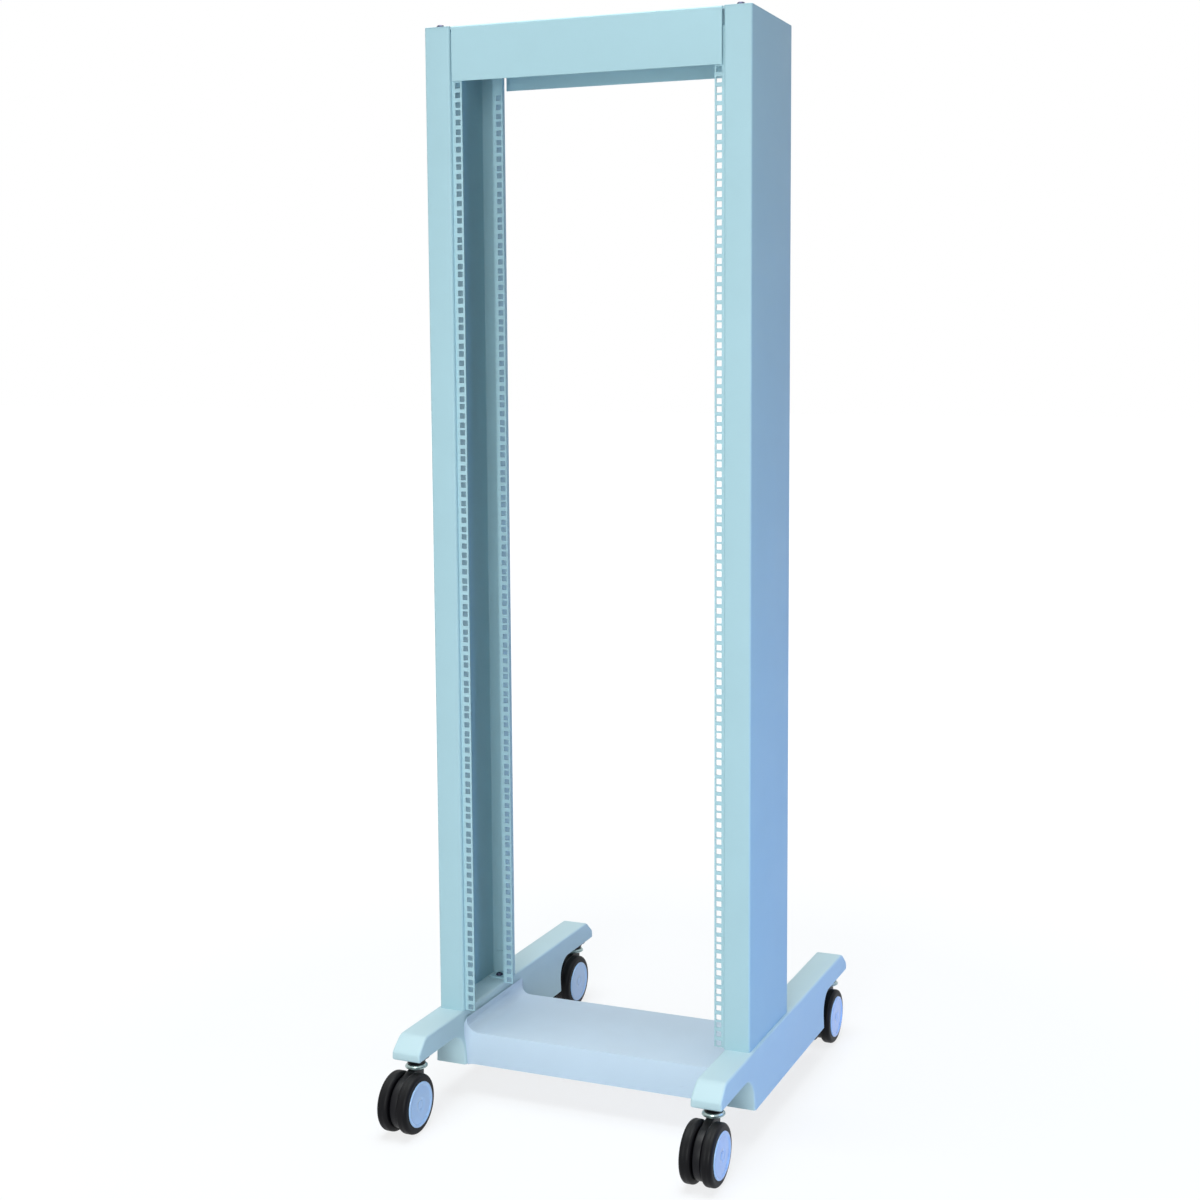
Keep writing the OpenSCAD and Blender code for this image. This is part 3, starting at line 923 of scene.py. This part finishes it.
@dataclass(frozen=True)
class TopBeam:
    """The hood between the posts' tops, its tabs and the four screws."""

    sizes: Sizes
    rear_h: float = 0.078
    screw_inset: float = 0.014

    def dress(self) -> None:
        """Builds the hood with its tabs, and sets the screws."""
        self._hood()
        self._screws()

    def _screw_rows(self) -> tuple[float, float]:
        """Y of the front and rear screws."""
        s = self.sizes
        return s.post_front + self.screw_inset, s.post_rear - self.screw_inset

    def _hood(self) -> None:
        """Folds the hood and adds its four tabs."""
        s = self.sizes
        run = bent_run(
            [(s.post_rear, s.rack_top - self.rear_h), (s.post_rear, s.rack_top),
             (s.post_front, s.rack_top), (s.post_front, s.beam_low)],
            s.sheet, s.bend)
        bm = bmesh.new()
        sheet_metal(bm, run, [-s.beam_half, s.beam_half], along_x)
        tab_top = s.rack_top - s.sheet
        for side in (-1, 1):
            for y in self._screw_rows():
                outline = [(side * (s.beam_half - 0.030), y - 0.011),
                           (side * (s.half_w - 0.005), y - 0.011),
                           (side * (s.half_w - 0.005), y + 0.011),
                           (side * (s.beam_half - 0.030), y + 0.011)]
                extrude(bm, outline, tab_top - 0.003, tab_top, along_z)
        piece = finish_object("top_beam_hood", bm, Finishes.FRAME)
        settle(piece, "rack", ["top_beam"])

    def _screws(self) -> None:
        """Sets the four screws in the posts' tops."""
        s = self.sizes
        pattern = dome_screw("top_screw_pattern", 0.007, 0.005, 0.004, 0.012)
        carrier = bpy.data.meshes.new("top_screws")
        x = (s.lip_x + s.half_w) / 2
        carrier.from_pydata(
            [(side * x, y, s.rack_top) for side in (-1, 1) for y in self._screw_rows()], [], [])
        piece = grow("top_beam_screws", REPEATS.row, carrier, {
            "Pattern": pattern, "Finish": Finishes.SCREW.material()})
        bpy.data.objects.remove(pattern, do_unlink=True)
        settle(piece, "rack", ["top_bolts"])


def dome_screw(name: str, head_r: float, head_h: float, shank_r: float,
               shank_l: float) -> bpy.types.Object:
    """A domed screw with a six-sided drive recess, its head standing on Z = 0.

    Args:
        name: The pattern's name.
        head_r: Radius of the head.
        head_h: Height of the head.
        shank_r: Radius of the shank.
        shank_l: Length of the shank below the head.

    Returns:
        The pattern object.
    """
    key_r = head_r * 0.42
    profile = [(0.0, -shank_l), (shank_r, -shank_l), (shank_r, 0.0), (head_r, 0.0),
               (head_r, head_h * 0.25)]
    profile += curve((head_r, head_h * 0.25), (head_r * 0.9, head_h * 0.96),
                     (head_r * 0.55, head_h), 7)[1:]
    profile += [(key_r * 1.12, head_h)]
    bm = bmesh.new()
    upward = Vector((0, 0, 1))
    steps = 48
    lathe(bm, profile, Vector(), upward, steps)
    rim = [v for v in bm.verts
           if abs(v.co.z - head_h) < 1e-7 and v.co.xy.length < key_r * 1.13]
    rim.sort(key=lambda v: math.atan2(v.co.y, v.co.x))
    mouth, floor = [], []
    for vert in rim:
        angle = math.atan2(vert.co.y, vert.co.x)
        sector = (angle % (math.pi / 3)) - math.pi / 6
        reach = key_r * math.cos(math.pi / 6) / math.cos(sector)
        for ring, z in ((mouth, head_h), (floor, head_h * 0.3)):
            ring.append(bm.verts.new((reach * math.cos(angle), reach * math.sin(angle), z)))
    for outer, inner in ((rim, mouth), (mouth, floor)):
        for i in range(len(rim)):
            j = (i + 1) % len(rim)
            bm.faces.new((outer[i], outer[j], inner[j], inner[i]))
    bm.faces.new(floor)
    return finish_object(name, bm, Finishes.SCREW, 28)


@dataclass(frozen=True)
class Foot:
    """One long foot: a hollow with leaning sides, rounded edges, and a nose over each castor."""

    side: Side
    sizes: Sizes
    nose_h: float = 0.038
    nose_run: float = 0.025
    nose_band: float = 0.015
    deep_half: float = 0.196
    arch_r: float = 0.038
    draft: float = FOOT_LEAN
    edge_r: float = 0.003
    wall: float = 0.003

    def _half(self, inset: float, low: float) -> list[Point]:
        """Half the side outline, drawn in by inset and ending at height low."""
        s = self.sizes
        end = s.foot_half_l - inset
        under = s.foot_top - self.nose_h + inset
        brow = (s.foot_half_l - self.nose_run - inset / 2, s.foot_top - inset)
        chin = (end, under + self.nose_band - inset)
        slope = (chin[0] - brow[0], chin[1] - brow[1])
        heel = self.nose_band / 3
        arch = (self.deep_half + self.arch_r, s.foot_top - self.nose_h - self.arch_r)
        return (
            curve((brow[0] - 0.008, brow[1]), brow,
                  (brow[0] + 0.3 * slope[0], brow[1] + 0.3 * slope[1]), 7)
            + curve((chin[0] - 0.2 * slope[0], chin[1] - 0.2 * slope[1]), chin,
                    (chin[0], chin[1] - 0.003), 5)
            + curve((end, under + heel), (end, under), (end - heel, under), 6)
            + arc(arch, self.arch_r + inset, 90, 180, 20)
            + [(self.deep_half - inset, low)]
        )

    def _outline(self, inset: float, low: float) -> list[Point]:
        """The whole side outline."""
        mid = self.sizes.foot_mid_y
        half = self._half(inset, low)
        return ([(mid + u, v) for u, v in half] + [(mid - u, v) for u, v in reversed(half)])

    def _section(self, inset: float, low: float) -> list[Point]:
        """The cross section with its leaning sides, drawn in by inset."""
        s = self.sizes
        side = self.side.value
        tall = s.foot_top - self.edge_r - s.foot_low
        spread = self.draft * (s.foot_top - self.edge_r - low) / tall
        return [(side * (s.foot_inner + inset - spread), low),
                (side * (s.foot_inner + inset), s.foot_top + 0.001 - inset * 1.4),
                (side * (s.foot_outer - inset), s.foot_top + 0.001 - inset * 1.4),
                (side * (s.foot_outer - inset + spread), low)]

    def dress(self) -> None:
        """Carves the foot from its side outline and its cross section."""
        s = self.sizes
        name = f"{self.side.word}_foot"
        low = s.foot_low - 0.012
        x0, x1 = sorted((self.side.value * (s.foot_inner - 0.02),
                         self.side.value * (s.foot_outer + 0.02)))
        y0, y1 = s.foot_mid_y - 0.5, s.foot_mid_y + 0.5
        piece = solid(f"{name}_shell", self._outline(0.0, low), x0, x1, along_x, Finishes.FOOT)
        carve(piece, solid("section", self._section(0.0, low - 0.01), y0, y1, along_y,
                           Finishes.FOOT), "INTERSECT")
        round_edges(piece, 0.0042, 5, 45)
        floor = [(x0 - 0.01, low - 0.02), (x1 + 0.01, low - 0.02),
                 (x1 + 0.01, s.foot_low), (x0 - 0.01, s.foot_low)]
        carve(piece, solid("floor", floor, y0, y1, along_y, Finishes.FOOT), "DIFFERENCE")
        hollow = solid("hollow", self._outline(self.wall, low), x0, x1, along_x, Finishes.FOOT)
        carve(hollow, solid("section", self._section(self.wall, low - 0.01), y0, y1, along_y,
                            Finishes.FOOT), "INTERSECT")
        carve(piece, hollow, "DIFFERENCE")
        smooth(piece, 30)
        settle(piece, "rack", [name])


@dataclass(frozen=True)
class BaseTray:
    """The coved tray between the feet, with skirts in front and behind."""

    sizes: Sizes
    top_drop: float = 0.042
    side_cove: float = 0.020
    corner_cove: float = 0.012
    draft: float = FOOT_LEAN
    edge_r: float = 0.003

    def _half_at(self, z: float) -> float:
        """Half the tray's width at a height, between the leaning feet."""
        s = self.sizes
        return s.foot_inner - self.draft * (s.foot_top - self.edge_r - z) / (
            s.foot_top - self.edge_r - s.foot_low)

    def _surface(self, t: float, rise: float) -> list[Point]:
        """The coved top line, set back by t, with its rims raised by rise."""
        top = self.sizes.foot_top - self.top_drop
        cx = self._half_at(top) - self.sizes.sheet - self.side_cove
        cz = top + self.side_cove
        return ([(-cx - self.side_cove - t, cz + rise)]
                + arc((-cx, cz), self.side_cove + t, 180, 270, 14)
                + arc((cx, cz), self.side_cove + t, 270, 360, 14)
                + [(cx + self.side_cove + t, cz + rise)])

    def _plan(self, t: float, past: float) -> list[Point]:
        """The plan with its coved corners, drawn in by t."""
        s = self.sizes
        r = self.corner_cove + t
        cx = s.foot_inner - s.sheet - self.corner_cove
        return ([(-past, s.tray_front)] + arc((-cx, s.tray_front), r, 180, 90, 10)
                + arc((cx, s.tray_front), r, 90, 0, 10)
                + [(past, s.tray_front), (past, s.tray_rear)]
                + arc((cx, s.tray_rear), r, 0, -90, 10)
                + arc((-cx, s.tray_rear), r, -90, -180, 10) + [(-past, s.tray_rear)])

    def dress(self) -> None:
        """Carves the tray's outside and then the hollow below it."""
        s = self.sizes
        rim = 0.008
        low = s.tray_low
        past = s.foot_inner + 0.005
        y0, y1 = s.tray_front - 0.01, s.tray_rear + 0.01
        top = s.foot_top - self.top_drop
        edge = self._half_at(top)
        outside = ([(-self._half_at(low), low), (-edge, top), (-edge, top + self.side_cove)]
                   + self._surface(0.0, rim)
                   + [(edge, top + self.side_cove), (edge, top), (self._half_at(low), low)])
        piece = solid("base_tray_pan", outside, y0, y1, along_y, Finishes.TRAY)
        carve(piece, solid("plan", self._plan(0.0, past), low - 0.01, top + 0.06, along_z,
                           Finishes.TRAY), "INTERSECT")
        round_edges(piece, 0.0016, 3, 50)
        under = self._surface(s.sheet, 0.0)
        inner = [(-past, low - 0.02), (-past, under[0][1] - 0.001)] + under + [
            (past, under[0][1] - 0.001), (past, low - 0.02)]
        hollow = solid("hollow", inner, y0, y1, along_y, Finishes.TRAY)
        carve(hollow, solid("plan", self._plan(s.sheet, past + 0.01), low - 0.03, top + 0.06,
                            along_z, Finishes.TRAY), "INTERSECT")
        carve(piece, hollow, "DIFFERENCE")
        smooth(piece, 30)
        settle(piece, "rack", ["base_tray"])


@dataclass(frozen=True)
class Brackets:
    """The angle brackets inside the posts' lower ends and the screws in them."""

    sizes: Sizes
    width: float = 0.030
    height: float = 0.043
    thickness: float = 0.003

    def dress(self) -> None:
        """Folds four brackets and sets a screw in the flat flange of each."""
        s = self.sizes
        bm = bmesh.new()
        x0 = s.lip_x + s.sheet + 0.006
        spots: list[tuple[float, float, float]] = []
        for side in (-1, 1):
            for front in (True, False):
                wall = s.post_front + s.sheet if front else s.post_rear - s.sheet
                into = 1 if front else -1
                corners = [(wall, s.foot_top + self.height), (wall, s.foot_top),
                           (wall + into * self.width, s.foot_top)]
                run = bent_run(corners if front else corners[::-1], self.thickness, 0.0045)
                lo, hi = sorted((side * x0, side * (x0 + self.width)))
                sheet_metal(bm, run, [lo, hi], along_x)
                spots.append((side * (x0 + self.width / 2), wall + into * self.width * 0.62,
                              s.foot_top + self.thickness))
        piece = finish_object("post_foot_brackets", bm, Finishes.FRAME)
        settle(piece, "rack", ["post_brackets"])
        pattern = dome_screw("bracket_screw_pattern", 0.0065, 0.004, 0.003, 0.002)
        carrier = bpy.data.meshes.new("bracket_screws")
        carrier.from_pydata(spots, [], [])
        screws = grow("post_foot_screws", REPEATS.row, carrier, {
            "Pattern": pattern, "Seed": 9, "Turn": 1.0, "Finish": Finishes.SCREW.material()})
        bpy.data.objects.remove(pattern, do_unlink=True)
        settle(screws, "rack")


@dataclass(frozen=True)
class Castor:
    """One twin wheel castor under a nose."""

    side: Side
    end: End
    sizes: Sizes
    nose_low: float = 0.119
    web_half: float = 0.007
    wheel_w: float = 0.022
    gap: float = 0.001
    cap_r: float = 0.038
    bore_r: float = 0.00405
    neck_h: float = 0.014
    seat_gap: float = 0.0003
    collar_h: float = 0.006
    bearing_h: float = 0.024

    @property
    def corner(self) -> str:
        """The corner's name in piece and body names."""
        return f"{self.end.word}_{self.side.word}"

    @property
    def middle(self) -> Vector:
        """The foot of the upright swivel axis, on the floor."""
        s = self.sizes
        return Vector((self.side.value * (s.foot_inner + s.foot_outer) / 2,
                       s.foot_mid_y + self.end.value * s.castor_pitch / 2, 0))

    @property
    def axle(self) -> Vector:
        """The middle of the axle."""
        return self.middle + Vector((0, -self.sizes.trail, self.sizes.wheel_r))

    def dress(self) -> None:
        """Builds the stem, the housing, the collar and both wheels."""
        self._stem()
        self._housing()
        self._collar()
        for which, hand in (("outer", self.side.value), ("inner", -self.side.value)):
            self._wheel(which, Vector((hand, 0, 0)))
            self._tyre(which, Vector((hand, 0, 0)))

    def _stem(self) -> None:
        """Turns the fixed cone and its pin."""
        top = self.nose_low
        bottom = top - self.neck_h
        profile = [(0.0, bottom - 0.028), (0.004, bottom - 0.028), (0.004, bottom),
                   (0.0135, bottom), (0.015, bottom + 0.001), (0.015, bottom + 0.0025)]
        profile += curve((0.015, bottom + 0.0025), (0.0165, top - 0.006),
                         (0.0215, top - 0.0035), 6)[1:]
        profile += [(0.0228, top - 0.003), (0.023, top - 0.0025), (0.023, top), (0.0, top)]
        bm = bmesh.new()
        lathe(bm, profile, self.middle, Vector((0, 0, 1)), 56)
        piece = finish_object(f"{self.corner}_castor_cone", bm, Finishes.NYLON, 40)
        settle(piece, "rack", [f"{self.corner}_castor_stem"])

    def _collar(self) -> None:
        """Turns the pale bearing collar."""
        top = self.nose_low - self.neck_h - self.seat_gap
        low = top - self.collar_h
        profile = [(self.bore_r, low), (0.0182, low), (0.019, low + 0.0006),
                   (0.019, low + 0.0022), (0.0184, low + 0.0028), (0.0176, low + 0.003),
                   (0.0172, low + 0.0036), (0.0168, top - 0.0008), (0.016, top),
                   (self.bore_r, top), (self.bore_r, low)]
        bm = bmesh.new()
        lathe(bm, profile, self.middle, Vector((0, 0, 1)), 56)
        piece = finish_object(f"{self.corner}_bearing_collar", bm, Finishes.ZINC, 40)
        settle(piece, f"{self.corner}_swivel", [f"{self.corner}_castor_collar"])

    def _housing(self) -> None:
        """Cuts the web between the wheels, bores it and adds the axle."""
        axle, middle = self.axle, self.middle
        top = self.nose_low - self.neck_h - self.seat_gap - self.collar_h
        web_r = self.sizes.wheel_r - 0.007
        half = self.web_half
        centre = (axle.y, axle.z)
        neck = [(middle.y - 0.016, top), (middle.y + 0.014, top),
                (middle.y + 0.014, top - self.bearing_h)]
        outline = (arc(centre, web_r, 95, 345, 60)
                   + curve((centre[0] + web_r * math.cos(math.radians(345)) + 0.0005,
                            centre[1] + web_r * math.sin(math.radians(345)) + 0.002),
                           (centre[0] + web_r * 0.98, centre[1] + web_r * 0.22),
                           neck[2], 8)
                   + [neck[1], neck[0]])
        x = middle.x
        piece = solid(f"{self.corner}_castor_web", outline, x - half, x + half, along_x,
                      Finishes.NYLON)
        round_edges(piece, 0.0022, 4, 50)
        bore = solid("bore", arc((middle.x, middle.y), self.bore_r, 0, 352.5, 47),
                     top - self.bearing_h, top + 0.01, along_z, Finishes.NYLON)
        carve(piece, bore, "DIFFERENCE")
        smooth(piece, 32)
        bm = bmesh.new()
        bm.from_mesh(piece.data)
        reach = half + self.gap + self.wheel_w - 0.005
        lathe(bm, [(0.0, -reach), (0.0035, -reach), (0.004, -reach + 0.0005),
                   (0.004, reach - 0.0005), (0.0035, reach), (0.0, reach)],
              axle, Vector((1, 0, 0)), 40)
        bmesh.ops.recalc_face_normals(bm, faces=bm.faces)
        bm.to_mesh(piece.data)
        bm.free()
        smooth(piece, 32)
        settle(piece, f"{self.corner}_swivel", [f"{self.corner}_castor_housing"])

    def _wheel(self, which: str, outward: Vector) -> None:
        """Turns one wheel disc with its raised rim."""
        start = self.web_half + self.gap
        face = start + self.wheel_w
        bore_end = face - 0.0045
        r = self.cap_r
        profile = [(0.0, bore_end), (self.bore_r, bore_end), (self.bore_r, start), (r, start),
                   (r, face - 0.0018)]
        profile += arc((r - 0.0018, face - 0.0018), 0.0018, 0, 90, 5)[1:]
        profile += curve((r - 0.0034, face), (r - 0.0046, face), (r - 0.0052, face - 0.0011), 4)
        profile += curve((r - 0.0056, face - 0.0014), (r - 0.0075, face - 0.0016),
                         (r - 0.012, face - 0.0013), 5)
        profile += [(0.016, face - 0.0009), (0.0085, face - 0.0008), (0.0078, face - 0.0012),
                    (0.0072, face - 0.0012), (0.0066, face - 0.0006), (0.004, face - 0.0003),
                    (0.0, face - 0.0002)]
        bm = bmesh.new()
        lathe(bm, profile, Vector((self.middle.x, self.axle.y, self.axle.z)), outward, 80)
        piece = finish_object(f"{self.corner}_{which}_wheel_disc", bm, Finishes.CAP, 36)
        settle(piece, f"{self.corner}_{which}_roller",
               [f"{self.corner}_{which}_wheel"])

    def _tyre(self, which: str, outward: Vector) -> None:
        """Turns one tread with rounded shoulders."""
        start = self.web_half + self.gap
        low, high = start, start + self.wheel_w - 0.002
        r = self.sizes.wheel_r
        shoulder = 0.006
        profile = ([(self.cap_r, high), (self.cap_r, low), (self.cap_r + 0.003, low)]
                   + arc((r - shoulder, low + shoulder), shoulder, -90, 0, 10)
                   + [(r, low + 0.0085), (r - 0.0003, (low + high) / 2), (r, high - 0.0085)]
                   + arc((r - shoulder, high - shoulder), shoulder, 0, 90, 10)
                   + [(self.cap_r + 0.0012, high), (self.cap_r, high)])
        bm = bmesh.new()
        lathe(bm, profile, Vector((self.middle.x, self.axle.y, self.axle.z)), outward, 88)
        piece = finish_object(f"{self.corner}_{which}_tread", bm, Finishes.TREAD, 40)
        settle(piece, f"{self.corner}_{which}_roller",
               [f"{self.corner}_{which}_tyre"])


@dataclass(frozen=True)
class Rack:
    """The whole rack."""

    sizes: Sizes

    def dress(self) -> None:
        """Dresses every sub-assembly."""
        for side in Side:
            Post(side, self.sizes).dress()
            Foot(side, self.sizes).dress()
            for end in End:
                Rail(side, end, self.sizes).dress()
                Castor(side, end, self.sizes).dress()
        TopBeam(self.sizes).dress()
        BaseTray(self.sizes).dress()
        Brackets(self.sizes).dress()


# ---------------------------------------------------------------------------
# Studio
# ---------------------------------------------------------------------------


@dataclass(frozen=True)
class Lamp:
    """One soft area lamp that looks at a point."""

    name: str
    place: tuple[float, float, float]
    target: tuple[float, float, float]
    size: tuple[float, float]
    power: float
    colour: tuple[float, float, float] = (1.0, 1.0, 1.0)

    def light(self) -> None:
        """Adds the lamp to the scene."""
        data = bpy.data.lights.new(self.name, "AREA")
        data.shape = "RECTANGLE"
        data.size, data.size_y = self.size
        data.energy = self.power
        data.color = self.colour
        lamp = bpy.data.objects.new(self.name, data)
        lamp.location = self.place
        aim = Vector(self.target) - Vector(self.place)
        lamp.rotation_euler = aim.to_track_quat("-Z", "Y").to_euler()
        bpy.context.scene.collection.objects.link(lamp)


class Studio:
    """Floor, backdrop, lamps and camera."""

    LAMPS = (
        Lamp("overhead", (-0.2, -0.3, 6.0), (0.0, 0.0, 0.6), (3.6, 3.6), 310,
             (0.97, 1.0, 1.0)),
        Lamp("front", (0.8, -4.5, 1.5), (0.0, 0.0, 1.0), (1.4, 2.0), 108,
             (0.95, 1.0, 0.98)),
        Lamp("side_low", (1.9, 0.1, 0.22), (0.2, 0.1, 0.1), (1.0, 0.5), 12,
             (0.03, 0.28, 1.0)),
    )

    def build(self) -> None:
        """Builds everything round the rack."""
        self._world()
        self._floor()
        for lamp in self.LAMPS:
            lamp.light()
        self._camera()
        bpy.context.scene.view_settings.view_transform = "Standard"

    @staticmethod
    def _seen(graph: Graph) -> bpy.types.NodeSocket:
        """1 for rays that look at the background, through glass or in a reflection."""
        path = graph.add("ShaderNodeLightPath")
        seen = graph.math("ADD", path.outputs["Is Camera Ray"], path.outputs["Is Glossy Ray"])
        seen = graph.math("ADD", seen, path.outputs["Is Transmission Ray"])
        return graph.math("MINIMUM", seen, 1.0)

    def _world(self) -> None:
        """Soft light from all round, white where it is looked at."""
        world = bpy.data.worlds.new("studio")
        world.use_nodes = True
        world.node_tree.nodes.clear()
        graph = Graph(world.node_tree)
        soft = graph.add("ShaderNodeBackground", {
            "Color": (0.86, 0.96, 1.0, 1.0), "Strength": 0.12})
        white = graph.add("ShaderNodeBackground", {
            "Color": (1.0, 1.0, 1.0, 1.0), "Strength": 1.0})
        mixed = graph.add("ShaderNodeMixShader", {
            0: self._seen(graph), 1: soft.outputs[0], 2: white.outputs[0]})
        graph.add("ShaderNodeOutputWorld", {"Surface": mixed.outputs[0]})
        bpy.context.scene.world = world

    def _floor(self) -> None:
        """A white floor that keeps the rack's shadow."""
        material = bpy.data.materials.new("studio_floor")
        material.use_nodes = True
        material.node_tree.nodes.clear()
        graph = Graph(material.node_tree)
        plain = graph.add("ShaderNodeBsdfDiffuse", {"Color": (0.72, 0.76, 0.80, 1.0)})
        glow = graph.add("ShaderNodeEmission", {"Color": (1.0, 1.0, 1.0, 1.0), "Strength": 1.1})
        away = graph.add("ShaderNodeVectorMath", {
            0: graph.add("ShaderNodeTexCoord").outputs["Object"]}, operation="LENGTH")
        paper = graph.math("MULTIPLY_ADD", graph.ramp(away.outputs["Value"], 0.9, 2.4), 0.28, 0.72)
        share = graph.math("MULTIPLY", self._seen(graph), paper)
        mixed = graph.add("ShaderNodeMixShader", {
            0: share, 1: plain.outputs[0], 2: glow.outputs[0]})
        graph.add("ShaderNodeOutputMaterial", {"Surface": mixed.outputs[0]})
        mesh = bpy.data.meshes.new("studio_floor")
        reach = 40.0
        mesh.from_pydata([(-reach, -reach, -0.0005), (reach, -reach, -0.0005),
                          (reach, reach, -0.0005), (-reach, reach, -0.0005)],
                         [], [(0, 1, 2, 3)])
        mesh.materials.append(material)
        floor = bpy.data.objects.new("studio_floor", mesh)
        bpy.context.scene.collection.objects.link(floor)

    @staticmethod
    def _camera() -> None:
        """The main camera."""
        data = bpy.data.cameras.new("camera")
        data.sensor_width = 36.0
        data.lens = 52.289
        data.shift_x = -0.0906
        data.shift_y = -0.045
        camera = bpy.data.objects.new("camera", data)
        camera.location = (1.2086, -2.7926, 1.2884)
        camera.rotation_euler = (math.pi / 2 - 0.1037, 0.0, 0.3614)
        bpy.context.scene.collection.objects.link(camera)
        bpy.context.scene.camera = camera


def main() -> None:
    """Dresses the rack and sets up the studio."""
    logging.basicConfig(level=logging.INFO, format="%(message)s")
    Rack(SIZES).dress()
    Studio().build()


if __name__ == "__main__":
    main()
